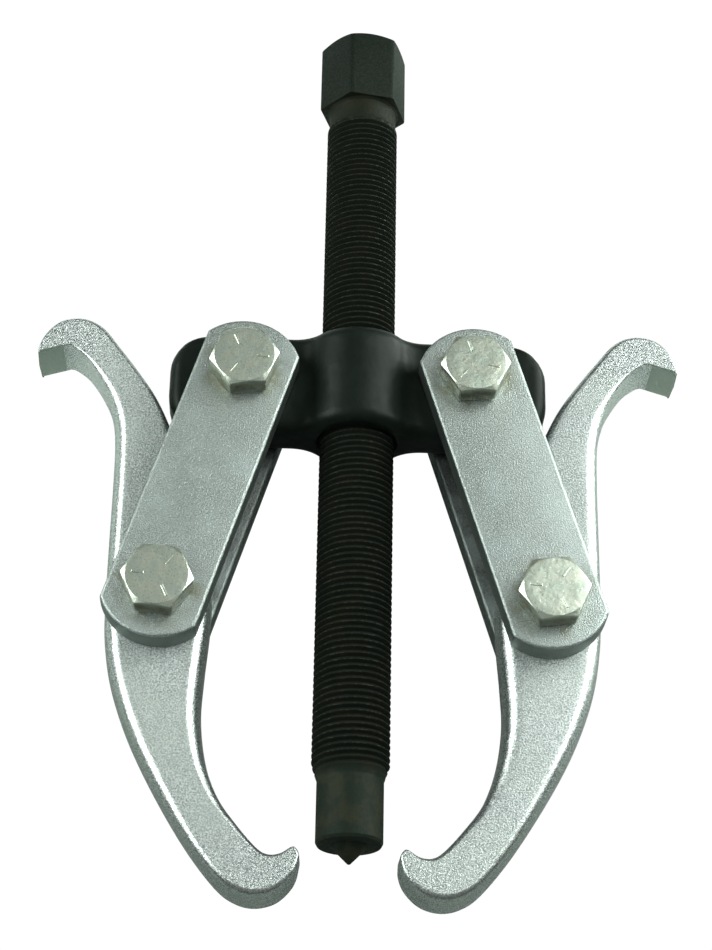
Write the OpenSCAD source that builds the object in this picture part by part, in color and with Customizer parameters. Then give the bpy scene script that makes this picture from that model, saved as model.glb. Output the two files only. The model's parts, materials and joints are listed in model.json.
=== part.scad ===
// Two-jaw reversible gear puller, lying on its back.
// +Z points up through the bolt heads, the forcing screw runs along Y with its
// hex head at +Y, and the crossbar of the yoke runs along X.  Millimetres.

/* [Yoke] */
// Distance between the two pivot bores of the yoke
yoke_span = 53.3; // [50:0.1:70]
// Overall length of the crossbar
yoke_len = 89.4; // [86:0.2:110]
// Height of the crossbar along the screw
yoke_h = 25.4; // [22:0.2:27]
// Thickness of the crossbar between the straps
yoke_t = 12.5; // [10:0.1:14]
// Radius of the rounded ends of the crossbar, seen from the front
yoke_end_r = 9.5; // [6:0.5:11]
// Radius of the threaded boss around the screw
boss_r = 13.2; // [12:0.1:13.4]
// Radius of the hollow between boss and crossbar
boss_fillet_r = 4.5; // [2:0.5:4.5]
// Rounding of the forged edges of the yoke
yoke_edge_r = 2.5; // [1:0.5:3]

/* [Forcing screw] */
// Outer diameter of the thread, an M18 x 1.5 screw a little under size
screw_d = 17.4; // [17:0.1:18]
// Distance from the pivot line of the yoke to the underside of the head
head_y = 80.4; // [60:0.2:100]
// Distance from the pivot line to the flat end of the screw
end_y = 110.5; // [105:0.1:114]
// Length of the hex head
head_len = 19; // [15:0.5:22]
// Width across the flats of the hex head, 3/4 inch
head_af = 19.05; // [18:0.05:20]
// Turn of the hex head about the screw axis
head_turn = -18; // [-30:1:30]
// Diameter of the plain neck under the head
neck_d = 16.6; // [15:0.1:17]
// Length of the plain neck under the head
neck_len = 6; // [4:0.5:8]
// Diameter of the plain pilot at the tip
pilot_d = 14.8; // [13:0.1:15]
// Length of the plain pilot at the tip
pilot_len = 14.6; // [10:0.2:16]
// Length of the bevel between thread and pilot
bevel_len = 3.5; // [2:0.5:5]
// Base diameter of the centre point
point_d = 8.2; // [6:0.1:10]
// Height of the centre point
point_h = 4; // [3:0.1:5]
// Diameter of the stem that carries the centre point
stem_d = 6; // [4:0.5:7]
// Length of the stem inside the screw
stem_len = 9; // [6:0.5:12]

/* [Straps] */
// Distance between the two bores of a strap
strap_span = 58.4; // [56:0.1:62]
// Width of a strap
strap_w = 22.5; // [20:0.1:23.5]
// Thickness of a strap, 1/4 inch
strap_t = 6.35; // [5:0.05:7]
// Radius of the arc across each end of a strap
strap_end_r = 13.7; // [13:0.1:14.5]

// Distance from a bolt's centre to the centre of its end's arc, towards the strap's middle
strap_end_in = 1.3; // [0:0.1:2]
// Angle of the straps outward from the screw, at rest
strap_angle = 17; // [16:0.5:19]

/* [Jaws] */
// Thickness of a jaw
jaw_t = 12.5; // [10:0.1:14]

/* [Bolts and nuts] */
// Diameter of the bolt shanks, 3/8 inch
bolt_d = 9.4; // [9:0.05:9.5]
// Length of a bolt under its head, 1-1/2 inch
bolt_len = 38.1; // [37.5:0.1:41]
// Width across the flats of bolt heads and nuts, 9/16 inch
hex_af = 14.29; // [13:0.01:15]
// Height of a bolt head
bolt_head_h = 6; // [5:0.1:7]
// Height of the hex part of a lock nut
nut_h = 8.2; // [7:0.1:9]
// Height of the round collar that holds the nylon ring
nut_collar_h = 3.3; // [3:0.1:4]

/* [Fits] */
// Radial clearance of a bolt in a pivot bore
pivot_play = 0.08; // [0.05:0.01:0.1]
// Radial clearance of the screw in the yoke
screw_play = 0.07; // [0.05:0.01:0.1]
// Gap between a strap and the jaw or crossbar that it holds
side_play = 0.1; // [0.05:0.01:0.2]
// Gap under each bolt head and nut
clamp_play = 0.05; // [0.02:0.01:0.1]

/* [Hidden] */

ROUND = 96;
TINY = 0.01;
LEFT = -1;
RIGHT = 1;

BLACK = "#23282a";
OXIDE = "#2c2a28";
ZINC = "#a9b4b2";
CAST_ZINC = "#b4bfbd";
BOLT_ZINC = "#b3b8a6";
NYLON = "#d8d8d0";

// Heights of the layers above and below the plane of the screw axis
strap_z = yoke_t/2 + side_play;
clamp_z = strap_z + strap_t + clamp_play;

// Lowest point of the bolts, which the puller lies on
axis_z = bolt_len - clamp_z;
pivot_r = bolt_d/2 + pivot_play;
pilot_r = pilot_d/2;
rim_bevel = 0.6;
stem_play = 0.05;

// Where a strap puts the jaw bolt, on the right-hand side
jaw_x = yoke_span/2 + strap_span*sin(strap_angle);
jaw_y = -strap_span*cos(strap_angle);

// How each hexagon came to rest when it was tightened
YOKE_BOLT_TURNS = [8, 4];
JAW_BOLT_TURNS = [-5, 7];
NUT_TURN = 12;

// Outside of the right jaw from the reverse hook down to the tip of the main
// hook, about its bore: +X is away from the screw
JAW_OUTSIDE = [
    [24.8, 63.5], [23.4, 63.2], [20, 60.1], [16.4, 54.3], [13.9, 48.3], [12.7, 41.8],
    [12.4, 30.8], [12.4, 15.8], [12.3, 0.8], [11.8, -9.2], [9.7, -20.2], [5.3, -32.2],
    [-0.7, -43.7], [-8, -55.2], [-14.8, -63.8], [-19.4, -67.2], [-24, -68.1],
    [-28.6, -66.7], [-32, -63], [-33.2, -59], [-32.4, -56.9]
];
// Inside of the same jaw from the tip of the main hook up to the reverse hook
JAW_INSIDE = [
    [-31.2, -56.6], [-28.8, -58.2], [-26.2, -58.5], [-23.7, -56.8], [-19.4, -51.8],
    [-15.2, -45.5], [-12, -37.2], [-10.4, -27.2], [-10.6, -17.2], [-11.4, -5.2], [-11.2, 4.8],
    [-8.7, 14.8], [-5.8, 25.8], [-2.8, 36.3], [0.1, 44.3], [3.9, 51.8], [8.8, 58.9],
    [13.2, 64.8], [16.2, 68.8], [19.3, 71.1], [23, 71.8], [27.2, 70.5], [30.3, 67.1],
    [31.8, 63.4], [31.9, 61.1]
];
SPLINE_STEPS = 4;

// One point of a Catmull-Rom curve between b and c, t from 0 to 1
function spline_point(a, b, c, d, t) =
    0.5*(2*b + (c - a)*t + (2*a - 5*b + 4*c - d)*t*t + (3*b - a - 3*c + d)*t*t*t);

// A smooth open curve through the given points
function smooth_curve(p) = [
    for (i = [0:len(p) - 2])
        for (k = [0:SPLINE_STEPS - 1])
            spline_point(p[max(i - 1, 0)], p[i], p[i + 1], p[min(i + 2, len(p) - 1)], k/SPLINE_STEPS),
    p[len(p) - 1]
];

// Lowest point of the main hooks, and with it the place of the pivot line that
// puts the origin below the middle of the overall length
jaw_bottom = jaw_y + min([for (p = smooth_curve(JAW_OUTSIDE)) p[1]]);
yoke_y = -(jaw_bottom + head_y + head_len)/2;

// Lays a piece out in the frame, from the pivot line of the yoke
module in_place() {
    translate([0, yoke_y, axis_z])
        children();
}

// Mirrors the right-hand side to make the left-hand one
module on_side(side) {
    across = side == LEFT ? 1 : 0;
    in_place()
        mirror([across, 0, 0])
            children();
}

// A hex prism along Z with its corners bevelled at the top, by a cone of 30 degrees
module hexagon(af, h, turn) {
    top_r = af*0.475;
    intersection() {
        rotate(turn)
            cylinder(h = h, r = af/2/cos(30), $fn = 6);
        translate([0, 0, -1])
            cylinder(h = h + 1, r1 = top_r + (h + 1)/tan(30), r2 = top_r, $fn = ROUND);
    }
}

// The crossbar of the yoke: round ends in front view, forged edges
module crossbar() {
    corner_x = yoke_len/2 - yoke_end_r;
    corner_y = yoke_h/2 - yoke_end_r;
    intersection() {
        union() {
            for (x = [-1, 1], y = [-1, 1])
                translate([x*corner_x, y*corner_y, -yoke_t/2])
                    cylinder(h = yoke_t, r = yoke_end_r, $fn = ROUND);
            cube([2*corner_x, yoke_h, yoke_t], center = true);
            cube([yoke_len, 2*corner_y, yoke_t], center = true);
        }
        rotate([90, 0, 90])
            translate([0, 0, -yoke_len/2])
                linear_extrude(height = yoke_len)
                    rounded_rectangle(yoke_h, yoke_t, yoke_edge_r);
    }
}

module rounded_rectangle(w, h, r) {
    square([w - 2*r, h], center = true);
    square([w, h - 2*r], center = true);
    for (x = [-1, 1], y = [-1, 1])
        translate([x*(w/2 - r), y*(h/2 - r)])
            circle(r = r, $fn = ROUND);
}

// The boss: a round barrel along Y with rounded rims
module barrel() {
    flat_r = boss_r - yoke_edge_r;
    rim_y = yoke_h/2 - yoke_edge_r;
    rotate([90, 0, 0])
        rotate_extrude($fn = ROUND)
            union() {
                translate([0, -yoke_h/2])
                    square([flat_r, yoke_h]);
                translate([0, -rim_y])
                    square([boss_r, 2*rim_y]);
                for (y = [-rim_y, rim_y])
                    translate([flat_r, y])
                        circle(r = yoke_edge_r, $fn = ROUND);
            }
}

// The hollow blend between barrel and crossbar, on all four sides
module boss_blend() {
    hollow_z = yoke_t/2 + boss_fillet_r;
    hollow_x = sqrt(pow(boss_r + boss_fillet_r, 2) - pow(hollow_z, 2));
    blend_h = yoke_h - 2*yoke_edge_r;
    for (x = [-1, 1], z = [-1, 1])
        rotate([90, 0, 0])
            difference() {
                linear_extrude(height = blend_h, center = true)
                    polygon([
                        [0, 0],
                        [x*hollow_x, 0],
                        [x*hollow_x, z*hollow_z]
                    ]);
                translate([x*hollow_x, z*hollow_z, -yoke_h])
                    cylinder(h = 2*yoke_h, r = boss_fillet_r, $fn = ROUND);
            }
}

module yoke() {
    color(BLACK)
        in_place()
            difference() {
                union() {
                    crossbar();
                    barrel();
                    boss_blend();
                }
                rotate([90, 0, 0])
                    cylinder(h = 2*yoke_h, r = screw_d/2 + screw_play, center = true, $fn = ROUND);
                for (x = [-1, 1])
                    translate([x*yoke_span/2, 0, 0])
                        cylinder(h = 2*yoke_t, r = pivot_r, center = true, $fn = ROUND);
            }
}

// Half outline of the turned screw, radius against distance from the pivot line
module screw_profile() {
    thread_end = end_y - pilot_len;
    polygon([
        [0, -end_y],
        [pilot_r - rim_bevel, -end_y],
        [pilot_r, -end_y + rim_bevel],
        [pilot_r, -thread_end],
        [screw_d/2, -thread_end + bevel_len],
        [screw_d/2, head_y - neck_len - 0.5],
        [neck_d/2, head_y - neck_len],
        [neck_d/2, head_y + 1],
        [0, head_y + 1]
    ]);
}

module forcing_screw() {
    color(OXIDE)
        in_place()
            rotate([-90, 0, 0])
                difference() {
                    union() {
                        rotate_extrude($fn = ROUND)
                            screw_profile();
                        translate([0, 0, head_y])
                            hexagon(head_af, head_len, 90 + head_turn);
                    }
                    translate([0, 0, -end_y - 1])
                        cylinder(h = stem_len + 1 + stem_play, d = stem_d + 2*stem_play, $fn = ROUND);
                }
}

module screw_point() {
    color(OXIDE)
        in_place()
            rotate([90, 0, 0])
                translate([0, 0, end_y])
                    rotate_extrude($fn = ROUND)
                        polygon([
                            [0, -stem_len],
                            [stem_d/2, -stem_len],
                            [stem_d/2, stem_play],
                            [point_d/2, stem_play],
                            [0.5, point_h - 0.3],
                            [0, point_h]
                        ]);
}

// A strap lies along -Y from the yoke bore at the origin, then leans outward
module strap(side, z) {
    color(ZINC)
        on_side(side)
            translate([yoke_span/2, 0, z])
                rotate(strap_angle)
                    difference() {
                        intersection() {
                            translate([-strap_w/2, -strap_span - strap_end_r, 0])
                                cube([strap_w, strap_span + 2*strap_end_r, strap_t]);
                            union() {
                                for (y = [-strap_end_in, strap_end_in - strap_span])
                                    translate([0, y, 0])
                                        cylinder(h = strap_t, r = strap_end_r, $fn = ROUND);
                                translate([-strap_w/2, -strap_span, 0])
                                    cube([strap_w, strap_span, strap_t]);
                            }
                        }
                        for (y = [0, -strap_span])
                            translate([0, y, -1])
                                cylinder(h = strap_t + 2, r = pivot_r, $fn = ROUND);
                    }
}

module front_strap(side) {
    strap(side, strap_z);
}

module rear_strap(side) {
    strap(side, -strap_z - strap_t);
}

module jaw(side) {
    color(CAST_ZINC)
        on_side(side)
            translate([jaw_x, jaw_y, -jaw_t/2])
                difference() {
                    linear_extrude(height = jaw_t)
                        polygon(concat(smooth_curve(JAW_OUTSIDE), smooth_curve(JAW_INSIDE)));
                    translate([0, 0, -1])
                        cylinder(h = jaw_t + 2, r = pivot_r, $fn = ROUND);
                }
}

// A hex cap screw that hangs head up from the front strap
module bolt(turn) {
    washer_h = 0.4;
    tip_bevel = 0.8;
    color(BOLT_ZINC) {
        translate([0, 0, clamp_z])
            cylinder(h = washer_h + TINY, d = hex_af*0.95, $fn = ROUND);
        translate([0, 0, clamp_z + washer_h])
            hexagon(hex_af, bolt_head_h - washer_h, turn);
        translate([0, 0, clamp_z - bolt_len])
            rotate_extrude($fn = ROUND)
                polygon([
                    [0, 0],
                    [bolt_d/2 - tip_bevel, 0],
                    [bolt_d/2, tip_bevel],
                    [bolt_d/2, bolt_len + 1],
                    [0, bolt_len + 1]
                ]);
    }
}

ring_h = 2.3;
ring_r = 5.7;
collar_r = 6.5;
thread_play = 0.02;

// A nylon-insert lock nut under the rear strap
module nut() {
    lip_h = nut_collar_h - ring_h;
    color(BOLT_ZINC)
        translate([0, 0, -clamp_z])
            mirror([0, 0, 1])
                difference() {
                    union() {
                        hexagon(hex_af, nut_h, NUT_TURN);
                        cylinder(h = nut_h + nut_collar_h, r = collar_r, $fn = ROUND);
                    }
                    translate([0, 0, -1])
                        cylinder(h = nut_h + nut_collar_h + 2, r = bolt_d/2 + thread_play, $fn = ROUND);
                    translate([0, 0, nut_h])
                        cylinder(h = ring_h, r = ring_r, $fn = ROUND);
                    translate([0, 0, nut_h + ring_h - TINY])
                        cylinder(h = lip_h + 1, r = ring_r - 0.5, $fn = ROUND);
                }
}

// The nylon ring that sits in the collar of a lock nut
module nut_ring() {
    color(NYLON)
        translate([0, 0, -clamp_z - nut_h - ring_h])
            difference() {
                cylinder(h = ring_h, r = ring_r, $fn = ROUND);
                translate([0, 0, -1])
                    cylinder(h = ring_h + 2, r = bolt_d/2 + thread_play, $fn = ROUND);
            }
}

// Puts a fastener at the yoke pivot or at the jaw pivot of one side
module at_yoke_pivot(side) {
    in_place()
        translate([side*yoke_span/2, 0, 0])
            children();
}

module at_jaw_pivot(side) {
    in_place()
        translate([side*jaw_x, jaw_y, 0])
            children();
}

yoke();
forcing_screw();
screw_point();
front_strap(LEFT);  // left_front_strap
rear_strap(LEFT);  // left_rear_strap
front_strap(RIGHT);  // right_front_strap
rear_strap(RIGHT);  // right_rear_strap
jaw(LEFT);  // left_jaw
jaw(RIGHT);  // right_jaw
at_yoke_pivot(LEFT) bolt(YOKE_BOLT_TURNS[0]);  // left_yoke_bolt
at_yoke_pivot(RIGHT) bolt(YOKE_BOLT_TURNS[1]);  // right_yoke_bolt
at_jaw_pivot(LEFT) bolt(JAW_BOLT_TURNS[0]);  // left_jaw_bolt
at_jaw_pivot(RIGHT) bolt(JAW_BOLT_TURNS[1]);  // right_jaw_bolt
at_yoke_pivot(LEFT) nut();  // left_yoke_nut
at_yoke_pivot(RIGHT) nut();  // right_yoke_nut
at_jaw_pivot(LEFT) nut();  // left_jaw_nut
at_jaw_pivot(RIGHT) nut();  // right_jaw_nut
at_yoke_pivot(LEFT) nut_ring();  // left_yoke_nut_ring
at_yoke_pivot(RIGHT) nut_ring();  // right_yoke_nut_ring
at_jaw_pivot(LEFT) nut_ring();  // left_jaw_nut_ring
at_jaw_pivot(RIGHT) nut_ring();  // right_jaw_nut_ring
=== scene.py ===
import json
import math

import bmesh
import bpy
import numpy as np
from mathutils import Euler, Matrix, Vector
from mathutils.geometry import delaunay_2d_cdt


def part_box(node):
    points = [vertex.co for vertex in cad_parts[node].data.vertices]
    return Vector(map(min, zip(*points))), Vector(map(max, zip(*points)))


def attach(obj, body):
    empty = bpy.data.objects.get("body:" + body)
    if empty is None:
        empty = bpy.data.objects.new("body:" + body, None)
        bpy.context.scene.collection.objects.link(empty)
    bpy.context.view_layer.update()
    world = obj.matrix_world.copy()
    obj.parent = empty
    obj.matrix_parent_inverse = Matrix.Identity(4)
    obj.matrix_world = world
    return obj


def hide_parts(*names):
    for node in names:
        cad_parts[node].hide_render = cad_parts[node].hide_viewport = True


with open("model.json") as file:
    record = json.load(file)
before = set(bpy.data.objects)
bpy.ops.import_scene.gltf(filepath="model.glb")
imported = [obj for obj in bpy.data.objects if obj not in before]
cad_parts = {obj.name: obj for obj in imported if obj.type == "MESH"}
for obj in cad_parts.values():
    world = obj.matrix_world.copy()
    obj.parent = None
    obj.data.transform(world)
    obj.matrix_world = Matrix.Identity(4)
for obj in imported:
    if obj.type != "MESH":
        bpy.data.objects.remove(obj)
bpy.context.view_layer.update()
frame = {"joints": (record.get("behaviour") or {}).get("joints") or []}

# ---------------------------------------------------------------- the frame, in millimetres
MM = 0.001


def box_mm(node):
    """Lowest and highest corner of a CAD node, in millimetres."""
    low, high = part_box(node)
    return np.array(low) / MM, np.array(high) / MM


SIDES = (("left", -1), ("right", 1))
JOINTS = {j["name"]: j for j in frame["joints"]}
# Where the arms turn on the yoke and the jaws turn on the arms
PIVOT = {
    side + part: np.array(JOINTS[side + part + motion]["pos_m"]) / MM
    for part, motion in (("_arm", "_swing"), ("_jaw", "_pivot"))
    for side, _ in SIDES
}
yoke_low, yoke_high = box_mm("yoke")
AXIS_Z = (yoke_low[2] + yoke_high[2]) / 2
YOKE_Y = (yoke_low[1] + yoke_high[1]) / 2

# ---------------------------------------------------------------- sizes, in millimetres
# Bores at the pivots: radius, bevel at their ends and corners round them
PIVOT_R = 4.78
BORE_BEVEL = 0.3
BORE_STEPS = 48

# Straps: half their width, radius of the end arcs and how far their centres lie inside the bores
STRAP_HALF = 11.25
STRAP_END = 13.7
STRAP_END_IN = 1.3

# Radii on hex heads and nuts, as shares of their width across flats: the washer face, the flat on
# top inside the bevel, the same on a bolt and a ring that only divides the flat
WASHER_FACE = 0.47
FLAT_TOP = 0.475
BOLT_FLAT_TOP = 0.48
FLAT_MIDDLE = 0.3

# Bolts and nuts
BOLT_R = 4.7
BOLT_PITCH = 1.0583
BOLT_THREAD_DEEP = 0.65
BOLT_TIP_BEVEL = 0.9
BOLT_RUN_OUT = 1.5
# How far the thread goes past the outer end of the nut, towards the head
THREAD_PAST_NUT = 9
HEAD_GAP = 0.05
WASHER_UP = 0.4
HEX_AF = 14.29
NUT_TURN = 12
# Gap between a bolt's crests and the bore of its nut or ring
BOLT_PLAY = 0.02
HEAD_TURN = {"left_yoke": 8, "right_yoke": 4, "left_jaw": -5, "right_jaw": 7}

# Raised dashes on the bolt heads: height, distance from the middle, half width and turn
DASH_UP = 0.2
DASH_FROM = 2.9
DASH_TO = 5.6
DASH_HALF = 0.25
MARK_TURN = {"left_yoke": -5, "right_yoke": -12, "left_jaw": 55, "right_jaw": 56}

# Forcing screw
SCREW_R = 8.7
SCREW_PITCH = 1.5
SCREW_TURN = -18
SCREW_THREAD_DEEP = 0.95
SCREW_RUN_IN = 3.6
SCREW_RUN_OUT = 1.4
PILOT_R = 7.4
PILOT_LENGTH = 14.6
NECK_LENGTH = 6.0
HEAD_LENGTH = 19.0
HEAD_AF = 19.05

# Where the finish of the screw changes, along Y
THREAD_FROM = YOKE_Y - 95
THREAD_TO = YOKE_Y + 75
HEAD_FROM = YOKE_Y + 80

# ---------------------------------------------------------------- node material helpers


class Nodes:
    """Builds a material's node tree with short calls."""

    def __init__(self, name):
        self.material = bpy.data.materials.new(name)
        self.material.use_nodes = True
        self.tree = self.material.node_tree
        self.tree.nodes.clear()
        self.out = self.tree.nodes.new("ShaderNodeOutputMaterial")
        self.shader = self.tree.nodes.new("ShaderNodeBsdfPrincipled")
        self.tree.links.new(self.shader.outputs[0], self.out.inputs[0])
        self.coords = self.tree.nodes.new("ShaderNodeTexCoord").outputs["Object"]

    def put(self, socket, value):
        """Links a socket or sets its value; None leaves it alone."""
        if isinstance(value, bpy.types.NodeSocket):
            self.tree.links.new(value, socket)
        elif value is not None:
            socket.default_value = value

    def set(self, **values):
        """Sets inputs of the shader, each named in small letters with underscores."""
        for key, value in values.items():
            name = key.replace("_", " ").title().replace("Ior", "IOR")
            self.put(self.shader.inputs[name], value)

    def noise(self, size_mm, detail=2.0, rough=0.55, stretch=(1, 1, 1), offset=0.0):
        """Noise whose features are about size_mm across; stretch squeezes the axes."""
        mapping = self.tree.nodes.new("ShaderNodeMapping")
        self.put(mapping.inputs["Vector"], self.coords)
        mapping.inputs["Scale"].default_value = tuple(s / (size_mm * MM) for s in stretch)
        mapping.inputs["Location"].default_value = (offset, offset * 0.7, offset * 1.3)
        node = self.tree.nodes.new("ShaderNodeTexNoise")
        self.put(node.inputs["Vector"], mapping.outputs[0])
        node.inputs["Scale"].default_value = 1.0
        node.inputs["Detail"].default_value = detail
        node.inputs["Roughness"].default_value = rough
        return node.outputs["Fac"]

    def math(self, op, a, b=None):
        """One arithmetic step on sockets or numbers."""
        node = self.tree.nodes.new("ShaderNodeMath")
        node.operation = op
        self.put(node.inputs[0], a)
        self.put(node.inputs[1], b)
        return node.outputs[0]

    def times(self, a, b):
        return self.math("MULTIPLY", a, b)

    def vector(self, op, a, b=None):
        """One step on vectors; LENGTH gives a number."""
        node = self.tree.nodes.new("ShaderNodeVectorMath")
        node.operation = op
        self.put(node.inputs[0], a)
        self.put(node.inputs[1], b)
        return node.outputs["Value" if op == "LENGTH" else "Vector"]

    def ramp(self, value, low, high, out_low=0.0, out_high=1.0):
        """A smooth step from out_low at low to out_high at high."""
        node = self.tree.nodes.new("ShaderNodeMapRange")
        node.interpolation_type = "SMOOTHSTEP"
        self.put(node.inputs["Value"], value)
        node.inputs["From Min"].default_value = low
        node.inputs["From Max"].default_value = high
        node.inputs["To Min"].default_value = out_low
        node.inputs["To Max"].default_value = out_high
        return node.outputs[0]

    def mix(self, factor, a, b):
        """A colour between a and b."""
        node = self.tree.nodes.new("ShaderNodeMix")
        node.data_type = "RGBA"
        self.put(node.inputs[0], factor)
        for socket, value in ((node.inputs[6], a), (node.inputs[7], b)):
            self.put(socket, (*value, 1) if isinstance(value, tuple) else value)
        return node.outputs[2]

    def distance(self, point_mm, axes):
        """Distance in millimetres from a point, along the axes given as 1."""
        offset = self.vector("SUBTRACT", self.coords, tuple(v * MM for v in point_mm))
        return self.vector("LENGTH", self.vector("MULTIPLY", offset, tuple(a / MM for a in axes)))

    def axis(self, name):
        """One object coordinate, in millimetres."""
        split = self.tree.nodes.new("ShaderNodeSeparateXYZ")
        self.put(split.inputs[0], self.coords)
        return self.times(split.outputs[name], 1 / MM)

    def facing(self, name):
        """One component of the surface normal, without its sign."""
        coords = self.tree.nodes.new("ShaderNodeTexCoord")
        split = self.tree.nodes.new("ShaderNodeSeparateXYZ")
        self.put(split.inputs[0], coords.outputs["Normal"])
        return self.math("ABSOLUTE", split.outputs[name])

    def bump(self, height, depth_mm, strength=1.0, under=None):
        """Bumps the shader's normal, on top of the bumps given as under."""
        node = self.tree.nodes.new("ShaderNodeBump")
        self.put(node.inputs["Height"], height)
        node.inputs["Distance"].default_value = depth_mm * MM
        self.put(node.inputs["Strength"], strength)
        self.put(node.inputs["Normal"], under)
        self.put(self.shader.inputs["Normal"], node.outputs[0])
        return node.outputs[0]


def forged_zinc():
    """Zinc on a shot-blasted forging: pitted, sparkling faces and calmer sides."""
    m = Nodes("forged_zinc")
    grain = m.noise(0.38, 2, 0.8)
    fine = m.noise(0.26, 1, 0.5, offset=4.4)
    cloud = m.noise(14, 2)
    face = m.ramp(m.facing("Z"), 0.90, 0.995, 0.14, 1.0)
    base = m.mix(m.ramp(grain, 0.38, 0.62), (0.39, 0.445, 0.432), (0.93, 0.97, 0.965))
    base = m.mix(m.ramp(cloud, 0.4, 0.7, 0.0, 0.35), base, (0.68, 0.76, 0.70))
    rough = m.math("ADD", m.ramp(fine, 0.3, 0.7, 0.30, 0.22), m.times(face, 0.09))
    m.set(base_color=base, metallic=0.95, roughness=rough)
    low = m.bump(m.noise(3, 2), 0.12)
    mid = m.bump(grain, 0.46, face, low)
    m.bump(fine, 0.12, face, mid)
    return m.material


def machined_zinc():
    """The milled seat of the upper hook: smooth, darker."""
    m = Nodes("machined_zinc")
    lines = m.noise(0.4, 2, 0.5, stretch=(1, 1, 0.3))
    base = m.mix(m.ramp(lines, 0.3, 0.7), (0.46, 0.53, 0.47), (0.51, 0.585, 0.52))
    m.set(base_color=base, metallic=0.9, roughness=m.ramp(lines, 0.3, 0.7, 0.40, 0.52))
    m.bump(lines, 0.01, 0.6)
    return m.material


def strap_zinc(name, painted_light_level):
    """Zinc on rolled flat bar: fine grain, faint yellow-brown rings beside the bolt heads that are partly
    stain and partly painted contact shade, painted shade on the sides, and a level that darkens all of it
    for painted shade.
    """
    m = Nodes(name)
    grain = m.noise(0.32, 2, 0.6)
    cloud = m.noise(9, 3)
    # a level below 1 darkens the whole strap: painted shade for a strap lying in shade
    dark = tuple(c * painted_light_level for c in (0.345, 0.395, 0.375))
    light = tuple(c * painted_light_level for c in (0.66, 0.72, 0.695))
    base = m.mix(m.ramp(grain, 0.34, 0.66), dark, light)
    base = m.mix(m.ramp(cloud, 0.4, 0.7, 0, 0.4), base, (0.66, 0.75, 0.74))
    # darker yellow-brown rings round the bolt heads, in noisy patches: partly stain, partly painted contact
    # shade
    stain_and_shade = None
    for point in PIVOT.values():
        ring = m.ramp(m.distance(point, (1, 1, 0)), 7.4, 11.5, 1.0, 0.0)
        stain_and_shade = ring if stain_and_shade is None else m.math("MAXIMUM", stain_and_shade, ring)
    stain_and_shade = m.times(stain_and_shade, m.ramp(m.noise(4, 3, 0.6, offset=3.1), 0.43, 0.66, 0.0, 0.8))
    base = m.mix(stain_and_shade, base, (0.30, 0.30, 0.20))
    # the sides are painted darker than the rolled faces: painted shade, for the shaded jaws and table they
    # reflect
    base = m.mix(m.ramp(m.facing("Z"), 0.10, 0.55, 1.0, 0.0), base, (0.24, 0.285, 0.265))
    m.set(base_color=base, metallic=0.92, roughness=m.ramp(grain, 0.3, 0.7, 0.44, 0.30))
    low = m.bump(m.noise(5, 2), 0.06)
    m.bump(grain, 0.16, 1.0, low)
    return m.material


def bolt_zinc():
    """Zinc on a cold-headed bolt: warm, nearly smooth, a little blotchy."""
    m = Nodes("bolt_zinc")
    grain = m.noise(0.5, 3, 0.6)
    cloud = m.noise(3.2, 2, offset=1.7)
    base = m.mix(m.ramp(cloud, 0.35, 0.7), (0.74, 0.83, 0.72), (0.86, 0.90, 0.76))
    base = m.mix(m.ramp(grain, 0.40, 0.70, 0.0, 0.15), base, (0.56, 0.60, 0.50))
    # the flats of the head are painted darker and browner than the top: painted shade, for the shaded strap
    # below that they reflect
    side = m.times(m.ramp(m.facing("Z"), 0.05, 0.35, 1.0, 0.0), m.ramp(cloud, 0.3, 0.6, 1.0, 0.75))
    base = m.mix(side, base, (0.18, 0.175, 0.125))
    m.set(base_color=base, metallic=0.92, roughness=m.ramp(grain, 0.3, 0.7, 0.26, 0.38))
    low = m.bump(m.noise(2.8, 2, offset=6.0), 0.11)
    m.bump(m.noise(0.8, 3), 0.04, 0.8, low)
    return m.material


def black_forging():
    """Black finish over a smooth forging."""
    m = Nodes("black_forging")
    grain = m.noise(0.6, 3, 0.6)
    cloud = m.noise(7, 3)
    base = m.mix(m.ramp(cloud, 0.35, 0.7), (0.0055, 0.0095, 0.007), (0.010, 0.0155, 0.012))
    m.set(base_color=base, metallic=0.0, roughness=m.ramp(cloud, 0.3, 0.7, 0.44, 0.37))
    m.set(specular_ior_level=0.23, specular_tint=(0.91, 1.0, 0.93, 1))
    low = m.bump(m.noise(6, 2), 0.25)
    m.bump(grain, 0.03, 0.7, low)
    return m.material


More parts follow.
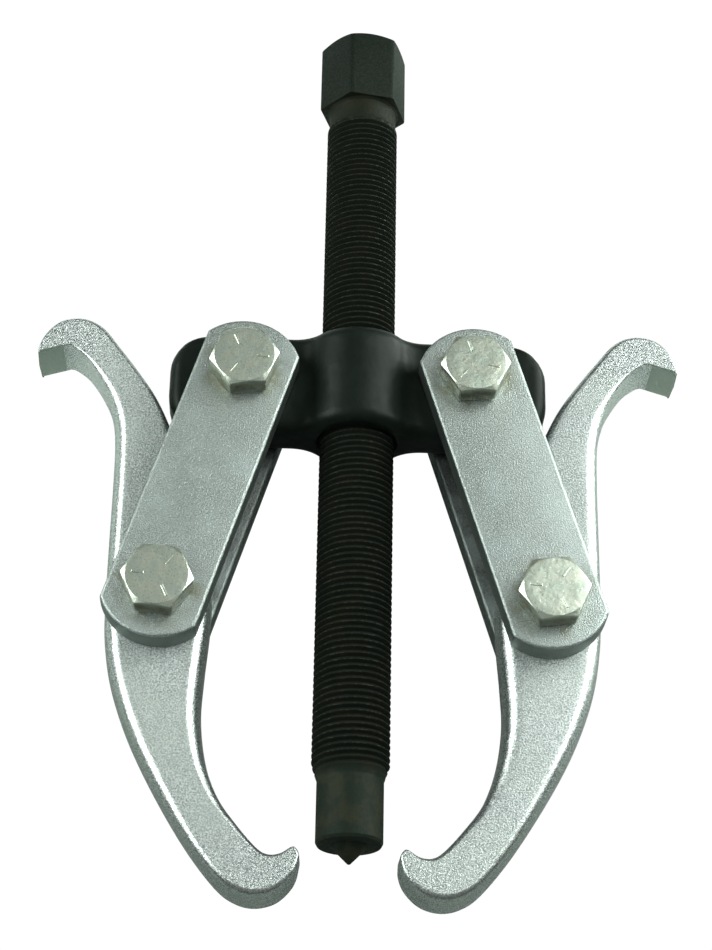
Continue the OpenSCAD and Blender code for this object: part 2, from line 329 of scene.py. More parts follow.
def black_oxide():
    """Black oxide on the screw: darkest on its head, brown on its neck, worn on its crests with painted
    glints.
    """
    m = Nodes("black_oxide")
    grain = m.noise(0.5, 3, 0.6)
    cloud = m.noise(5, 3, 0.6, offset=2.2)
    radius = m.distance((0, 0, AXIS_Z), (1, 0, 1))
    along = m.axis("Y")
    above_pilot = m.ramp(along, THREAD_FROM - 1, THREAD_FROM + 1)
    below_neck = m.ramp(along, THREAD_TO - 1, THREAD_TO + 1, 1, 0)
    thread = m.times(above_pilot, below_neck)
    crest = m.times(m.ramp(radius, SCREW_R - 0.25, SCREW_R - 0.02), thread)
    base = m.mix(m.ramp(cloud, 0.40, 0.62), (0.0090, 0.0165, 0.0110), (0.025, 0.0265, 0.0145))
    head = m.ramp(along, HEAD_FROM, HEAD_FROM + 1)
    steel = m.mix(m.ramp(grain, 0.42, 0.60), (0.0025, 0.0060, 0.0036), (0.0085, 0.0130, 0.0090))
    base = m.mix(head, base, steel)
    above_thread = m.ramp(along, THREAD_TO - 2, THREAD_TO)
    below_head = m.ramp(along, HEAD_FROM, HEAD_FROM + 1, 1, 0)
    neck = m.times(above_thread, below_head)
    base = m.mix(m.times(neck, 0.8), base, (0.0105, 0.0105, 0.0045))
    base = m.mix(m.times(thread, 0.75), base, (0.0105, 0.0125, 0.0085))
    # the crests are painted brighter in short, smoother flecks: partly wear, partly painted glint
    worn_glint_fleck = m.times(crest, m.ramp(m.noise(1.1, 2, 0.7, offset=7.1), 0.52, 0.60))
    base = m.mix(m.times(worn_glint_fleck, 0.25), base, (0.045, 0.050, 0.043))
    rough = m.math("ADD", m.ramp(grain, 0.3, 0.7, 0.70, 0.58), m.times(thread, 0.28))
    rough = m.math("SUBTRACT", rough, m.times(worn_glint_fleck, 0.38))
    m.set(base_color=base, metallic=0.0, roughness=rough)
    m.set(specular_ior_level=0.28, specular_tint=(0.86, 1.0, 0.87, 1))
    m.bump(m.noise(0.8, 3, 0.65), 0.08, 0.9)
    return m.material


def nylon():
    """Milky nylon of the rings in the lock nuts."""
    m = Nodes("nylon")
    cloud = m.noise(2, 2)
    m.set(base_color=m.mix(cloud, (0.72, 0.72, 0.66), (0.80, 0.80, 0.75)), roughness=0.45)
    m.bump(m.noise(0.4, 2), 0.01, 0.5)
    return m.material


# ---------------------------------------------------------------- mesh helpers


class Build:
    """Collects rings of points, in millimetres, into one mesh."""

    def __init__(self):
        self.points = []
        self.faces = []
        self.marks = []

    def ring(self, points):
        """Adds points and returns where they start and how many they are."""
        start = len(self.points)
        self.points.extend(tuple(float(c) for c in p) for p in points)
        return start, len(points)

    def add(self, face, mark=0):
        """Adds one face, with the number of its material."""
        self.faces.append(tuple(face))
        self.marks.append(mark)

    def bridge(self, a, b, closed=True):
        """Joins two rings of the same length with quads."""
        (i, n), (j, _) = a, b
        for k in range(n if closed else n - 1):
            k1 = (k + 1) % n
            self.add((i + k, i + k1, j + k1, j + k))

    def join(self, rings):
        """Bridges each ring to the next."""
        for a, b in zip(rings, rings[1:]):
            self.bridge(a, b)

    def cap(self, ring, flip=False):
        """Closes a ring with one face."""
        start, n = ring
        face = range(start, start + n)
        self.add(face[::-1] if flip else face)

    def fill(self, loops, plane, up):
        """Triangles over a flat region: the first loop is its outside, the rest are holes."""
        flat, edges, shapes, source = [], [], [], []
        for start, n in loops:
            first = len(flat)
            for k in range(n):
                p = self.points[start + k]
                flat.append(Vector((p[plane[0]], p[plane[1]])))
                edges.append((first + k, first + (k + 1) % n))
            source += range(start, start + n)
            shapes.append(np.array([tuple(p) for p in flat[first:]]))
        outside = list(range(loops[0][1]))
        verts, _, faces, origin, _, _ = delaunay_2d_cdt(flat, edges, [outside], 1, 1e-7)
        back = [source[o[0]] if o else None for o in origin]
        for face in faces:
            middle = sum((verts[v] for v in face), Vector((0, 0))) / len(face)
            if any(inside(middle, s) for s in shapes[1:]) or not inside(middle, shapes[0]):
                continue
            ids = [back[v] for v in face]
            if None in ids or len(set(ids)) < 3:
                continue
            a, b, c = (np.array(self.points[i]) for i in ids[:3])
            if np.cross(b - a, c - a)[up[0]] * up[1] < 0:
                ids.reverse()
            self.add(ids)

    def mesh(self, name, materials, sharp_deg, merge_mm=1e-4):
        """Makes the object, with sharp edges where faces meet at more than sharp_deg."""
        data = bpy.data.meshes.new(name)
        data.from_pydata([tuple(c * MM for c in p) for p in self.points], [], self.faces)
        for m in materials:
            data.materials.append(m)
        for polygon, mark in zip(data.polygons, self.marks):
            polygon.material_index = mark
        bm = bmesh.new()
        bm.from_mesh(data)
        bmesh.ops.remove_doubles(bm, verts=bm.verts, dist=merge_mm * MM)
        bmesh.ops.dissolve_degenerate(bm, edges=bm.edges, dist=1e-5 * MM)
        bmesh.ops.recalc_face_normals(bm, faces=bm.faces)
        bm.to_mesh(data)
        bm.free()
        data.shade_smooth()
        data.set_sharp_from_angle(angle=math.radians(sharp_deg))
        obj = bpy.data.objects.new(name, data)
        bpy.context.scene.collection.objects.link(obj)
        return obj


def inside(point, polygon):
    """True if a point lies in a polygon, by counting crossings."""
    x, y = point[0], point[1]
    x0, y0 = polygon[:, 0], polygon[:, 1]
    x1, y1 = np.roll(x0, -1), np.roll(y0, -1)
    cross = (y0 > y) != (y1 > y)
    with np.errstate(divide="ignore", invalid="ignore"):
        at = x0 + (y - y0) * (x1 - x0) / (y1 - y0)
    return bool(np.count_nonzero(cross & (x < at)) % 2)


def spline(points, steps):
    """Catmull-Rom through rows of numbers."""
    p = np.array(points, float)
    out = []
    for i in range(len(p) - 1):
        a, b, c, d = p[max(i - 1, 0)], p[i], p[i + 1], p[min(i + 2, len(p) - 1)]
        for k in range(steps):
            t = k / steps
            out.append(0.5 * (2 * b + (c - a) * t + (2 * a - 5 * b + 4 * c - d) * t * t
                              + (3 * b - a - 3 * c + d) * t ** 3))
    out.append(p[-1])
    return np.array(out)


def inward(outline):
    """Unit vectors into a closed counter-clockwise outline, stretched at its corners."""
    sharpest = 0.55
    ahead = np.roll(outline, -1, 0) - outline
    ahead /= np.linalg.norm(ahead, axis=1)[:, None]
    behind = np.roll(ahead, 1, 0)
    n = np.stack([-(ahead[:, 1] + behind[:, 1]), ahead[:, 0] + behind[:, 0]], 1)
    n /= np.linalg.norm(n, axis=1)[:, None]
    cosine = np.abs(n[:, 0] * -ahead[:, 1] + n[:, 1] * ahead[:, 0])
    return n / np.maximum(cosine, sharpest)[:, None]


def circle(cx, cy, r, n):
    """n points round a centre."""
    t = np.linspace(0, 2 * math.pi, n, endpoint=False)
    return np.stack([cx + r * np.cos(t), cy + r * np.sin(t)], 1)


def at_z(shape, z):
    """A flat shape lifted to a height, or to a height for each point."""
    return np.column_stack([shape, np.broadcast_to(z, len(shape))])


def place(piece, body, nodes):
    """Says what a piece rides on and hides the CAD nodes it stands for."""
    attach(piece, body)
    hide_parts(*nodes)


def plate(build, outline, z_low, z_high, edges, holes, draft, steps, marks):
    """A flat piece with holes. The edges are the roundings above and below, for each point."""
    n_in = inward(outline)
    upper, lower = edges
    turns = [math.pi / 2 * k / steps for k in range(steps + 1)]
    levels = [(draft + upper * (1 - math.sin(a)), z_high - upper * (1 - math.cos(a))) for a in turns]
    levels.append((np.zeros(len(outline)), (z_low + z_high) / 2))
    turns.reverse()
    levels += [(draft + lower * (1 - math.sin(a)), z_low + lower * (1 - math.cos(a))) for a in turns]
    rings = [build.ring(at_z(outline + n_in * inset[:, None], z)) for inset, z in levels]
    for (i, n), (j, _) in zip(rings, rings[1:]):
        for k in range(n):
            k1 = (k + 1) % n
            build.add((i + k, j + k, j + k1, i + k1), marks[k])
    tops, bottoms = [rings[0]], [rings[-1]]
    for x, y in holes:
        bore = circle(x, y, PIVOT_R, BORE_STEPS)
        bevel = circle(x, y, PIVOT_R + BORE_BEVEL, BORE_STEPS)
        stack = [
            build.ring(at_z(bevel, z_high)),
            build.ring(at_z(bore, z_high - BORE_BEVEL)),
            build.ring(at_z(bore, z_low + BORE_BEVEL)),
            build.ring(at_z(bevel, z_low)),
        ]
        build.join(stack)
        tops.append(stack[0])
        bottoms.append(stack[-1])
    build.fill(tops, (0, 1), (2, 1))
    build.fill(bottoms, (0, 1), (2, -1))


# Angles of the columns round anything turned, closer at the corners of a hexagon
CORNER = 1.6
SIXTH = [0, CORNER, 4.5, 10, 16, 23, 30, 37, 44, 50, 55.5, 60 - CORNER]
COLUMNS = np.radians([60 * k + a for k in range(6) for a in SIXTH])


def hex_radius(af):
    """Radius of a hexagon with softened corners at each column."""
    soften = 1.003
    a = np.mod(COLUMNS, math.pi / 3) - math.pi / 6
    r = af / 2 / np.cos(a)
    soft = af / 2 / math.cos(math.radians(30 - CORNER)) * soften
    return np.minimum(r, soft)


def turned(build, origin, axis, turn=0.0):
    """A function that makes a ring from radii and heights along the axis, and its angles."""
    t = COLUMNS + math.radians(turn)

    def ring(r, s):
        r = np.broadcast_to(np.asarray(r, float), t.shape)
        s = np.broadcast_to(np.asarray(s, float), t.shape)
        u, v = r * np.cos(t), r * np.sin(t)
        if axis == "Z":
            xyz = (origin[0] + u, origin[1] + v, origin[2] + s)
        else:
            xyz = (origin[0] + v, origin[1] + s, origin[2] + u)
        return build.ring(np.column_stack(xyz))

    return ring, t


# Shares of the pitch at which a thread's crest begins and ends, and its root begins and ends
THREAD_FORM = (0.0, 0.14, 0.43, 0.68)


def thread(build, ring, t, span, pitch, crest, depth, end_radii, bevels):
    """A right-hand thread over a span, bevelled or faded at its ends; gives its end rings."""
    (s0, s1), (start_r, end_r), (bevel0, bevel1) = span, end_radii, bevels

    def radius(s):
        phase = np.mod((s - s0) / pitch - t / (2 * math.pi), 1.0)
        r = crest - depth * np.interp(phase, [*THREAD_FORM, 1.0], [0, 0, 1, 1, 0])
        r = np.minimum(r, start_r + (crest - start_r) * np.clip((s - s0) / bevel0, 0, 1))
        ending = np.clip((s1 - s) / bevel1, 0, 1)
        if end_r >= crest:
            return crest - (crest - r) * ending
        return np.minimum(r, end_r + (crest - end_r) * ending)

    rows = []
    first, last = -1 - int(t.max() / (2 * math.pi)), int(math.ceil((s1 - s0) / pitch)) + 2
    for k in range(first, last):
        for f in THREAD_FORM:
            s = np.clip(s0 + pitch * (k + f + t / (2 * math.pi)), s0, s1)
            rows.append(ring(radius(s), s))
    for a, b in zip(rows, rows[1:]):
        build.bridge(a, b, closed=False)
    # the last column meets the first one a whole pitch further on
    n, turn = len(t), len(THREAD_FORM)
    for a, b, c, d in zip(rows, rows[1:], rows[turn:], rows[turn + 1:]):
        build.add((a[0] + n - 1, c[0], d[0], b[0] + n - 1))
    return rows[0], rows[-1]


def hex_side(ring, af, s0, s1, top_r, bottom_r=None):
    """Rings of a hexagon from s0 to s1 whose corners a 30 degree cone bevels."""
    r = hex_radius(af)
    slope = math.tan(math.radians(30))
    up = 1 if s1 > s0 else -1
    top = s1 - up * (r - top_r) * slope
    if bottom_r is None:
        rings = [ring(r - 0.25, s0), ring(r - 0.06, s0 + up * 0.07), ring(r, s0 + up * 0.25)]
    else:
        rings = [ring(bottom_r, s0), ring(r, s0 + up * (r - bottom_r) * slope)]
    rings += [ring(r, top - up * 0.12), ring(r - 0.07, top + up * 0.03)]
    rings += [ring(top_r + 0.22, s1 - up * 0.13), ring(top_r + 0.08, s1 - up * 0.03)]
    rings.append(ring(top_r - 0.2, s1))
    return rings


# ---------------------------------------------------------------- materials
ZINC_FORGED = forged_zinc()
ZINC_MILLED = machined_zinc()
ZINC_STRAP = {
    "front": strap_zinc("strap_zinc", 1.0),
    # the rear straps get a darker copy of the strap zinc: painted shade for straps lying in shade between
    # jaws and front straps
    "rear": strap_zinc("rear_strap_zinc_painted_shade", 0.45),
}
ZINC_BOLT = bolt_zinc()
BLACK = black_forging()
OXIDE = black_oxide()
NYLON = nylon()

# ---------------------------------------------------------------- jaws
# Right jaw about its bore, +X away from the screw: x, y and the rounding of the edge
JAW_OUTSIDE = [
    (24.8, 63.55, 0.3), (23.3, 63, 0.4), (20, 60.1, 0.9), (16.4, 54.3, 2.2), (13.9, 48.3, 3.2),
    (12.7, 41.8, 3.8), (12.4, 30.8, 4.0), (12.4, 15.8, 4.0), (12.3, 0.8, 4.0), (11.8, -9.2, 4.1),
    (9.7, -20.2, 4.2), (5.3, -32.2, 4.1), (-0.7, -43.7, 3.6), (-8, -55.2, 2.7), (-14.8, -63.6, 2.1),
    (-19.4, -66.9, 1.9), (-24, -67.8, 1.8), (-28.6, -66.4, 1.7), (-32, -62.8, 1.3),
    (-33.2, -58.9, 0.8), (-32.4, -56.9, 0.6),
]
JAW_INSIDE = [
    (-31.2, -56.6, 0.6), (-28.8, -58.0, 0.9), (-26.2, -58.2, 1.2), (-23.7, -56.6, 1.5),
    (-19.4, -51.6, 2.0), (-15.2, -45.5, 2.8), (-12.1, -37.2, 3.8), (-10.6, -27.2, 4.4),
    (-10.9, -17.2, 4.4), (-11.7, -5.2, 4.0), (-11.4, 4.8, 3.4), (-8.9, 14.8, 2.8), (-6.1, 25.8, 2.4),
    (-3.1, 36.3, 2.3), (-0.12, 44.3, 2.2), (3.55, 51.8, 2.1), (8.4, 58.9, 1.9), (12.9, 64.8, 1.8),
    (16.0, 68.7, 1.7), (19.3, 71.0, 1.6), (23, 71.7, 1.5), (27.2, 70.5, 1.2), (30.3, 67.1, 0.9),
    (31.78, 63.4, 0.6), (31.88, 61.3, 0.35),
]
SEAT_EDGE = 0.3


def make_jaw(side, k):
    low, high = box_mm(side + "_jaw")
    pivot = PIVOT[side + "_jaw"]
    body = spline(JAW_OUTSIDE + JAW_INSIDE, 7)
    # the milled seat closes the outline of the upper hook
    seat = np.linspace(body[-1], body[0], 8)[1:-1]
    seat[:, 2] = SEAT_EDGE
    rows = np.concatenate([body, seat])[::-1]
    marks = [1 if i <= len(seat) else 0 for i in range(len(rows))]
    outline = rows[:, :2] * (k, 1) + pivot[:2]
    edge = rows[:, 2]
    if k < 0:
        outline, edge, marks = outline[::-1], edge[::-1], marks[::-1]
        marks = marks[1:] + marks[:1]
    build = Build()
    plate(build, outline, low[2], high[2], (edge, edge), [pivot[:2]], draft=0.22, steps=8, marks=marks)
    piece = build.mesh(side + "_jaw_forging", [ZINC_FORGED, ZINC_MILLED], 40)
    place(piece, side + "_jaw_body", [side + "_jaw"])


# ---------------------------------------------------------------- straps
def make_strap(side, layer):
    node = f"{side}_{layer}_strap"
    low, high = box_mm(node)
    a, b = PIVOT[side + "_arm"][:2], PIVOT[side + "_jaw"][:2]
    span = np.linalg.norm(b - a)
    along = (b - a) / span
    across = np.array([-along[1], along[0]])
    half = math.asin(STRAP_HALF / STRAP_END)
    t = np.linspace(-half, half, 29)
    reach = [STRAP_END * math.cos(x) - STRAP_END_IN for x in t]
    lower = [(span + r, STRAP_END * math.sin(x)) for r, x in zip(reach, t)]
    upper = [(-r, -STRAP_END * math.sin(x)) for r, x in zip(reach, t)]
    side_u = np.linspace(lower[-1][0], upper[0][0], 14)[1:-1]
    uv = lower + [(u, STRAP_HALF) for u in side_u] + upper + [(u, -STRAP_HALF) for u in side_u[::-1]]
    outline = np.array([a + along * u + across * v for u, v in uv])
    # shearing rounds the upper edge more than the lower one
    n = len(outline)
    edges = (np.full(n, 0.8), np.full(n, 0.5))
    build = Build()
    plate(build, outline, low[2], high[2], edges, [a, b], draft=0.03, steps=5, marks=[0] * n)
    piece = build.mesh(node + "_bar", [ZINC_STRAP[layer]], 30)
    place(piece, side + "_arm", [node])


# ---------------------------------------------------------------- bolts, nuts and rings
def bolt_axis(side, where):
    """Where the bolt at the yoke or at the jaw stands, at height zero."""
    x, y, _ = PIVOT[side + ("_arm" if where == "yoke" else "_jaw")]
    return x, y, 0


def make_bolt(side, where):
    key = f"{side}_{where}"
    low, high = box_mm(key + "_bolt")
    axis = bolt_axis(side, where)
    build = Build()
    ring, t = turned(build, axis, "Z", HEAD_TURN[key])
    under = box_mm(side + "_front_strap")[1][2] + HEAD_GAP
    nut_end = box_mm(key + "_nut")[0][2]
    tip, shank = thread(build, ring, t, (low[2], nut_end + THREAD_PAST_NUT), BOLT_PITCH, BOLT_R,
                        BOLT_THREAD_DEEP, (BOLT_R - BOLT_TIP_BEVEL, BOLT_R), (BOLT_TIP_BEVEL, BOLT_RUN_OUT))
    build.cap(tip, True)
    # the washer face under the head, then the head
    face = under + WASHER_UP
    top_z = high[2] - DASH_UP
    rings = [shank, ring(BOLT_R, under), ring(HEX_AF * WASHER_FACE, under), ring(HEX_AF * FLAT_TOP, face)]
    rings += hex_side(ring, HEX_AF, face, top_z, HEX_AF * BOLT_FLAT_TOP)
    rings += [ring(HEX_AF * FLAT_MIDDLE, top_z), ring(1.0, top_z)]
    build.join(rings)
    build.cap(rings[-1])
    for j in range(3):
        make_dash(build, axis, top_z, MARK_TURN[key] + 120 * j)
    piece = build.mesh(key + "_bolt_steel", [ZINC_BOLT], 28, merge_mm=0.002)
    place(piece, side + "_arm", [key + "_bolt"])


def make_dash(build, axis, top_z, turn):
    """One of the three raised radial dashes that mark a Grade 5 bolt, wider at its foot."""
    angle = math.radians(turn)
    out = np.array([math.cos(angle), math.sin(angle)])
    across = np.array([-math.sin(angle), math.cos(angle)])
    rings = []
    for grow, lift in ((0.12, -0.1), (0.05, 0.0), (-0.02, DASH_UP - 0.04), (-0.09, DASH_UP)):
        near, far, half = DASH_FROM - grow, DASH_TO + grow, DASH_HALF + grow
        corners = ((near, -half), (far, -half), (far, half), (near, half))
        shape = np.array([axis[:2] + out * u + across * v for u, v in corners])
        rings.append(build.ring(at_z(shape, top_z + lift)))
    build.join(rings)
    build.cap(rings[0], True)
    build.cap(rings[-1])


def make_nut(side, where):
    node = f"{side}_{where}_nut"
    low, high = box_mm(node)
    ring_low, ring_high = box_mm(node + "_ring")
    build = Build()
    ring, _ = turned(build, bolt_axis(side, where), "Z", NUT_TURN)
    bore, seat_r, lip_r = BOLT_R + BOLT_PLAY, 5.7, 5.2
    collar_r, collar_edge = 6.5, 1.1
    z0, z1 = high[2], ring_high[2]
    washer = HEX_AF * WASHER_FACE
    rings = [ring(bore, z1), ring(bore, z0 - 0.5), ring(bore + 0.5, z0), ring(washer, z0)]
    rings += hex_side(ring, HEX_AF, z0, z1, HEX_AF * FLAT_TOP, washer)[1:]
    rings += [ring(collar_r, z1), ring(collar_r, low[2] + collar_edge)]
    for a in np.radians((20, 45, 70, 90)):
        r = collar_r - collar_edge + collar_edge * math.cos(a)
        rings.append(ring(r, low[2] + collar_edge - collar_edge * math.sin(a)))
    rings += [ring(lip_r + 0.05, low[2]), ring(lip_r, low[2] + 0.3), ring(lip_r, ring_low[2])]
    rings += [ring(seat_r, ring_low[2]), ring(seat_r, z1)]
    build.join(rings)
    build.bridge(rings[-1], rings[0])
    piece = build.mesh(node + "_steel", [ZINC_BOLT], 28)
    place(piece, side + "_arm", [node])


def make_ring(side, where):
    node = f"{side}_{where}_nut_ring"
    low, high = box_mm(node)
    build = Build()
    ring, _ = turned(build, bolt_axis(side, where), "Z")
    r0, r1, z0, z1 = BOLT_R + BOLT_PLAY, 5.69, low[2], high[2] - 0.01
    rings = [ring(r0, z0 + 0.25), ring(r0 + 0.25, z0), ring(r1 - 0.2, z0), ring(r1, z0 + 0.2)]
    rings += [ring(r1, z1), ring(r0, z1)]
    build.join(rings)
    build.bridge(rings[-1], rings[0])
    piece = build.mesh(node + "_insert", [NYLON], 30)
    place(piece, side + "_arm", [node])


# ---------------------------------------------------------------- forcing screw and its point
def make_screw():
    low, high = box_mm("forcing_screw")
    build = Build()
    ring, t = turned(build, (0, 0, AXIS_Z), "Y", SCREW_TURN)
    end, head = low[1], high[1] - HEAD_LENGTH
    thread0, thread1 = end + PILOT_LENGTH, head - NECK_LENGTH
    neck_r = SCREW_R - 0.4
    # the point's socket, then the plain end
    socket_r, socket_deep = 3.05, 9.2
    rings = [ring(socket_r, end + socket_deep), ring(socket_r, end), ring(PILOT_R - 0.9, end)]
    rings += [ring(PILOT_R - 0.35, end + 0.15), ring(PILOT_R, end + 0.8)]
    rings += [ring(PILOT_R, end + 5), ring(PILOT_R, end + 10), ring(PILOT_R, thread0 - 0.4)]
    build.cap(rings[0])
    run_in, run_out = thread(build, ring, t, (thread0, thread1), SCREW_PITCH, SCREW_R,
                             SCREW_THREAD_DEEP, (PILOT_R, SCREW_R), (SCREW_RUN_IN, SCREW_RUN_OUT))
    rings.append(run_in)
    build.join(rings)
    # the neck and the head
    rings = [run_out, ring(SCREW_R - 0.05, thread1 + 0.3), ring(neck_r, thread1 + 0.8)]
    rings += [ring(neck_r, head - 1.2), ring(SCREW_R - 0.25, head - 0.5), ring(SCREW_R + 0.25, head)]
    rings += hex_side(ring, HEAD_AF, head, high[1], HEAD_AF * FLAT_TOP)
    rings += [ring(HEAD_AF * FLAT_MIDDLE, high[1]), ring(1.0, high[1])]
    build.join(rings)
    build.cap(rings[-1])
    piece = build.mesh("forcing_screw_steel", [OXIDE], 26, merge_mm=0.003)
    place(piece, "screw_body", ["forcing_screw"])


def make_point():
    low, high = box_mm("screw_point")
    build = Build()
    ring, _ = turned(build, (0, 0, AXIS_Z), "Y")
    # the cone stands just clear of the screw's end face
    cone, gap, stem_r, tip_r = 4.0, 0.05, 3.0, 0.62
    base = low[1] + cone - gap
    rings = [ring(1, high[1]), ring(stem_r - 0.3, high[1]), ring(stem_r, high[1] - 0.3)]
    rings += [ring(stem_r, base), ring(4.1, base), ring(3.9, base - 0.16)]
    for a in np.radians(np.linspace(45, 90, 7)):
        rings.append(ring(max(tip_r * math.cos(a), 0.02), low[1] + tip_r * (1 - math.sin(a))))
    build.cap(rings[0])
    build.join(rings)
    build.cap(rings[-1], True)
    piece = build.mesh("screw_point_steel", [OXIDE], 30)
    place(piece, "centre_point", ["screw_point"])


# ---------------------------------------------------------------- yoke
# Half the thickness of the bar, and the radii of its long edges, of the hollows beside the boss,
# of the rim round its faces and of its ends from above
BAR_HALF = 5.9
BAR_EDGE = 3.0
HOLLOW_R = 7.0
RIM_R = 3.0
YOKE_END_R = 9.5
# The ends stop a little short, so that the jaws clear them at the limit of their travel
YOKE_SHORT = 0.35
# The rounding of the ends squeezes only what lies beyond this
ENDS_FROM = 20.0


def arc(cx, cy, r, start, stop, n):
    """n points on an arc, from one angle to another."""
    return [(cx + r * math.cos(a), cy + r * math.sin(a)) for a in np.linspace(start, stop, n)]


def yoke_section(half_x, boss):
    """Closed outline of the yoke seen along the screw, with a round boss between two bars."""
    right_angle = math.pi / 2
    hollow_z = BAR_HALF + HOLLOW_R
    hollow_x = math.sqrt((boss + HOLLOW_R) ** 2 - hollow_z ** 2)
    touch = math.atan2(hollow_z, hollow_x)
    quarter = arc(0, 0, boss, right_angle, touch, 15)
    quarter += arc(hollow_x, hollow_z, HOLLOW_R, touch - math.pi, -right_angle, 14)[1:]
    flat = np.linspace(quarter[-1][0], half_x - BAR_EDGE, 10)
    quarter += [(x, BAR_HALF) for x in flat[1:]]
    quarter += arc(half_x - BAR_EDGE, BAR_HALF - BAR_EDGE, BAR_EDGE, right_angle, 0, 8)[1:]
    quarter.append((half_x, 0.0))
    q = np.array(quarter)
    down, mirror = (q * (1, -1))[::-1], (q * (-1, 1))[::-1]
    return np.concatenate([q[:-1], down[:-1], (q * (-1, -1))[:-1], mirror[:-1]])[::-1]


def drill(piece, x, y):
    """Cuts a pivot's bore through the yoke."""
    cutter = Build()
    shape = circle(x, y, PIVOT_R, BORE_STEPS)
    ends = [cutter.ring(at_z(shape, AXIS_Z + z)) for z in (-20, 20)]
    cutter.bridge(*ends)
    cutter.cap(ends[0], True)
    cutter.cap(ends[1])
    tool = cutter.mesh("cutter", [], 40)
    cut = piece.modifiers.new("bore", "BOOLEAN")
    cut.operation = "DIFFERENCE"
    cut.solver = "EXACT"
    cut.object = tool
    bpy.context.view_layer.update()
    drilled = piece.evaluated_get(bpy.context.evaluated_depsgraph_get())
    done = bpy.data.meshes.new_from_object(drilled)
    piece.modifiers.clear()
    piece.data = done
    bpy.data.objects.remove(tool)


def make_yoke():
    low, high = yoke_low, yoke_high
    half_x = high[0] - YOKE_SHORT
    half_y = (high[1] - low[1]) / 2
    outline = yoke_section(half_x, (high[2] - low[2]) / 2)
    n_in = inward(outline)
    # distances from the middle and the inset there, from one face to the other
    levels = []
    for a in np.linspace(math.pi / 2, 0, 9):
        levels.append((half_y - RIM_R + RIM_R * math.sin(a), RIM_R * (1 - math.cos(a))))
    for y in np.linspace(half_y - RIM_R, 0, 7)[1:]:
        levels.append((y, 0.0))
    levels += [(-y, inset) for y, inset in levels[::-1][1:]]
    build = Build()
    rings = []
    for y, inset in levels:
        shape = outline + n_in * inset
        over = max(0.0, abs(y) - (half_y - YOKE_END_R))
        reach = half_x - YOKE_END_R + math.sqrt(max(YOKE_END_R ** 2 - over ** 2, 0.01))
        squeeze = (reach - ENDS_FROM) / (half_x - ENDS_FROM)
        x = shape[:, 0]
        squeezed = np.sign(x) * (ENDS_FROM + (np.abs(x) - ENDS_FROM) * squeeze)
        x = np.where(np.abs(x) > ENDS_FROM, squeezed, x)
        rings.append(build.ring(np.column_stack([x, np.full(len(x), YOKE_Y + y), AXIS_Z + shape[:, 1]])))
    build.join(rings)
    bore, bevel, steps = SCREW_R + 0.07, 0.8, 64
    upper = [(bore + bevel, half_y), (bore, half_y - bevel)]
    loops = []
    for r, y in upper + [(r, -y) for r, y in upper[::-1]]:
        x, z = circle(0, AXIS_Z, r, steps).T
        loops.append(build.ring(np.column_stack([x, np.full(steps, YOKE_Y + y), z])))
    build.join(loops)
    build.fill([rings[0], loops[0]], (0, 2), (1, 1))
    build.fill([rings[-1], loops[-1]], (0, 2), (1, -1))
    piece = build.mesh("yoke_forging", [BLACK], 40)
    for side, _ in SIDES:
        drill(piece, *PIVOT[side + "_arm"][:2])
    place(piece, "yoke", ["yoke"])


for side, k in SIDES:
    make_jaw(side, k)
    for layer in ("front", "rear"):
        make_strap(side, layer)
    for where in ("yoke", "jaw"):
        make_bolt(side, where)
        make_nut(side, where)
        make_ring(side, where)
make_screw()
make_point()
make_yoke()

# ---------------------------------------------------------------- stage, in metres
# Half the width of the studio, and the height of its floor, just under the object
STUDIO = 12.0
UNDER = -0.0003
# Where the table's painted shade in front turns to light along Y, and its two colours
TABLE_PAINTED_SHADE_TO = -0.12
TABLE_LIGHT_FROM = 0.06
TABLE_PAINTED_SHADE = (0.27, 0.30, 0.28, 1)
TABLE_LIGHT = (0.74, 0.80, 0.76, 1)
LAMP_COLOR = (0.94, 1.0, 0.96)


def add_stage(name, corners, faces, shader, seen):
    """A part of the studio, seen either by the camera or only in reflections and light."""
    material = bpy.data.materials.new(name)
    material.use_nodes = True
    tree = material.node_tree
    tree.nodes.clear()
    out = tree.nodes.new("ShaderNodeOutputMaterial")
    node = tree.nodes.new(shader)
    tree.links.new(node.outputs[0], out.inputs[0])
    data = bpy.data.meshes.new(name)
    data.from_pydata(corners, [], faces)
    data.materials.append(material)
    obj = bpy.data.objects.new(name, data)
    bpy.context.scene.collection.objects.link(obj)
    obj.visible_camera = seen
    obj.visible_diffuse = not seen
    obj.visible_glossy = not seen
    obj.visible_shadow = not seen
    return tree, node


# Corners of the studio's floor
GROUND = [(x * STUDIO, y * STUDIO, UNDER) for x, y in ((-1, -1), (1, -1), (1, 1), (-1, 1))]


def make_floor():
    """A white floor, walls and ceiling, so that a low camera sees the same pale studio all round."""
    ceiling = [(x, y, STUDIO) for x, y, _ in GROUND]
    faces = [(0, 1, 2, 3), (0, 4, 5, 1), (1, 5, 6, 2), (2, 6, 7, 3), (3, 7, 4, 0), (4, 7, 6, 5)]
    _, glow = add_stage("floor", GROUND + ceiling, faces, "ShaderNodeEmission", True)
    glow.inputs["Color"].default_value = (1, 1, 1, 1)
    glow.inputs["Strength"].default_value = 1.02


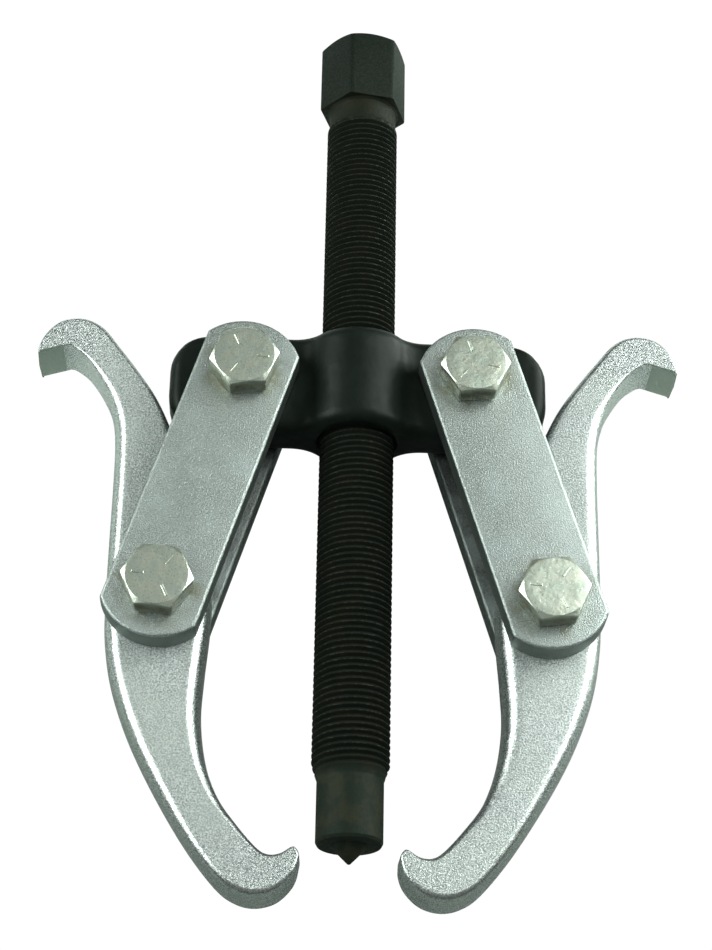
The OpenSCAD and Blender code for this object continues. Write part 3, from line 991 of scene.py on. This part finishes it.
def make_table():
    """The tabletop that the metal reflects, with painted shade in front and light behind."""
    tree, top = add_stage("table", GROUND, [(0, 1, 2, 3)], "ShaderNodeBsdfDiffuse", False)
    coords = tree.nodes.new("ShaderNodeTexCoord")
    split = tree.nodes.new("ShaderNodeSeparateXYZ")
    fade = tree.nodes.new("ShaderNodeMapRange")
    tint = tree.nodes.new("ShaderNodeMix")
    tint.data_type = "RGBA"
    fade.inputs["From Min"].default_value = TABLE_PAINTED_SHADE_TO
    fade.inputs["From Max"].default_value = TABLE_LIGHT_FROM
    tint.inputs[6].default_value = TABLE_PAINTED_SHADE
    tint.inputs[7].default_value = TABLE_LIGHT
    tree.links.new(coords.outputs["Object"], split.inputs[0])
    tree.links.new(split.outputs["Y"], fade.inputs["Value"])
    tree.links.new(fade.outputs[0], tint.inputs[0])
    tree.links.new(tint.outputs[2], top.inputs["Color"])


def soft_box(name, location, target, size, power):
    """A rectangular lamp turned towards a target."""
    light = bpy.data.lights.new(name, "AREA")
    light.shape = "RECTANGLE"
    light.size, light.size_y = size
    light.energy = power
    light.color = LAMP_COLOR
    obj = bpy.data.objects.new(name, light)
    bpy.context.scene.collection.objects.link(obj)
    obj.location = location
    obj.rotation_mode = "QUATERNION"
    obj.rotation_quaternion = (Vector(target) - Vector(location)).to_track_quat("-Z", "Y")


def make_world():
    """A tent that is grey above, dim at the horizon and a little lighter below it."""
    world = bpy.data.worlds.new("tent")
    bpy.context.scene.world = world
    world.use_nodes = True
    tree = world.node_tree
    tree.nodes.clear()
    out = tree.nodes.new("ShaderNodeOutputWorld")
    back = tree.nodes.new("ShaderNodeBackground")
    coords = tree.nodes.new("ShaderNodeTexCoord")
    split = tree.nodes.new("ShaderNodeSeparateXYZ")
    ramp = tree.nodes.new("ShaderNodeValToRGB")
    stretch = tree.nodes.new("ShaderNodeMapRange")
    stretch.inputs["From Min"].default_value = -1
    tree.links.new(coords.outputs["Generated"], split.inputs[0])
    tree.links.new(split.outputs["Z"], stretch.inputs["Value"])
    tree.links.new(stretch.outputs[0], ramp.inputs[0])
    # height from straight down to straight up, and the brightness there
    stops = ((0.0, 0.16), (0.42, 0.12), (0.54, 0.06), (0.75, 0.15), (1.0, 0.27))
    elements = ramp.color_ramp.elements
    elements[0].position, elements[1].position = stops[0][0], stops[-1][0]
    for position, _ in stops[1:-1]:
        elements.new(position)
    for element, (_, level) in zip(sorted(elements, key=lambda e: e.position), stops):
        element.color = (level * 0.93, level, level * 0.95, 1)
    tree.links.new(ramp.outputs[0], back.inputs["Color"])
    tree.links.new(back.outputs[0], out.inputs[0])


make_world()
make_floor()
make_table()
soft_box("left_box", (-0.60, 0.06, 0.42), (0, 0.03, 0.02), (0.70, 0.34), 3.4)
soft_box("right_box", (0.56, 0.20, 0.42), (0, 0.0, 0.02), (0.66, 0.34), 3.2)
soft_box("right_strip", (0.66, 0.34, 0.07), (0, 0.0, 0.02), (0.46, 0.14), 2.2)
soft_box("top_box", (0.42, 0.30, 0.84), (0, 0.0, 0.02), (0.50, 0.40), 1.2)

# ---------------------------------------------------------------- camera
# Place from the middle of the yoke in millimetres, turn in radians, and lens on a 36 mm sensor
EYE = (-14.862, -261.175, 479.808)
TURN = (-0.4643, 0.0277, -0.0326)
SENSOR = 36
LENS = 87.335

camera_data = bpy.data.cameras.new("camera")
camera_data.sensor_width = SENSOR
camera_data.lens = LENS
camera_data.clip_start = 0.01
camera_data.clip_end = 50
camera = bpy.data.objects.new("camera", camera_data)
bpy.context.scene.collection.objects.link(camera)
view = Euler(TURN, "XYZ").to_matrix().transposed()
eye = Vector((EYE[0], EYE[1] + YOKE_Y, EYE[2] + AXIS_Z)) * MM
camera.matrix_world = Matrix.Translation(eye) @ view.to_4x4()
bpy.context.scene.camera = camera
bpy.context.scene.view_settings.view_transform = "Standard"
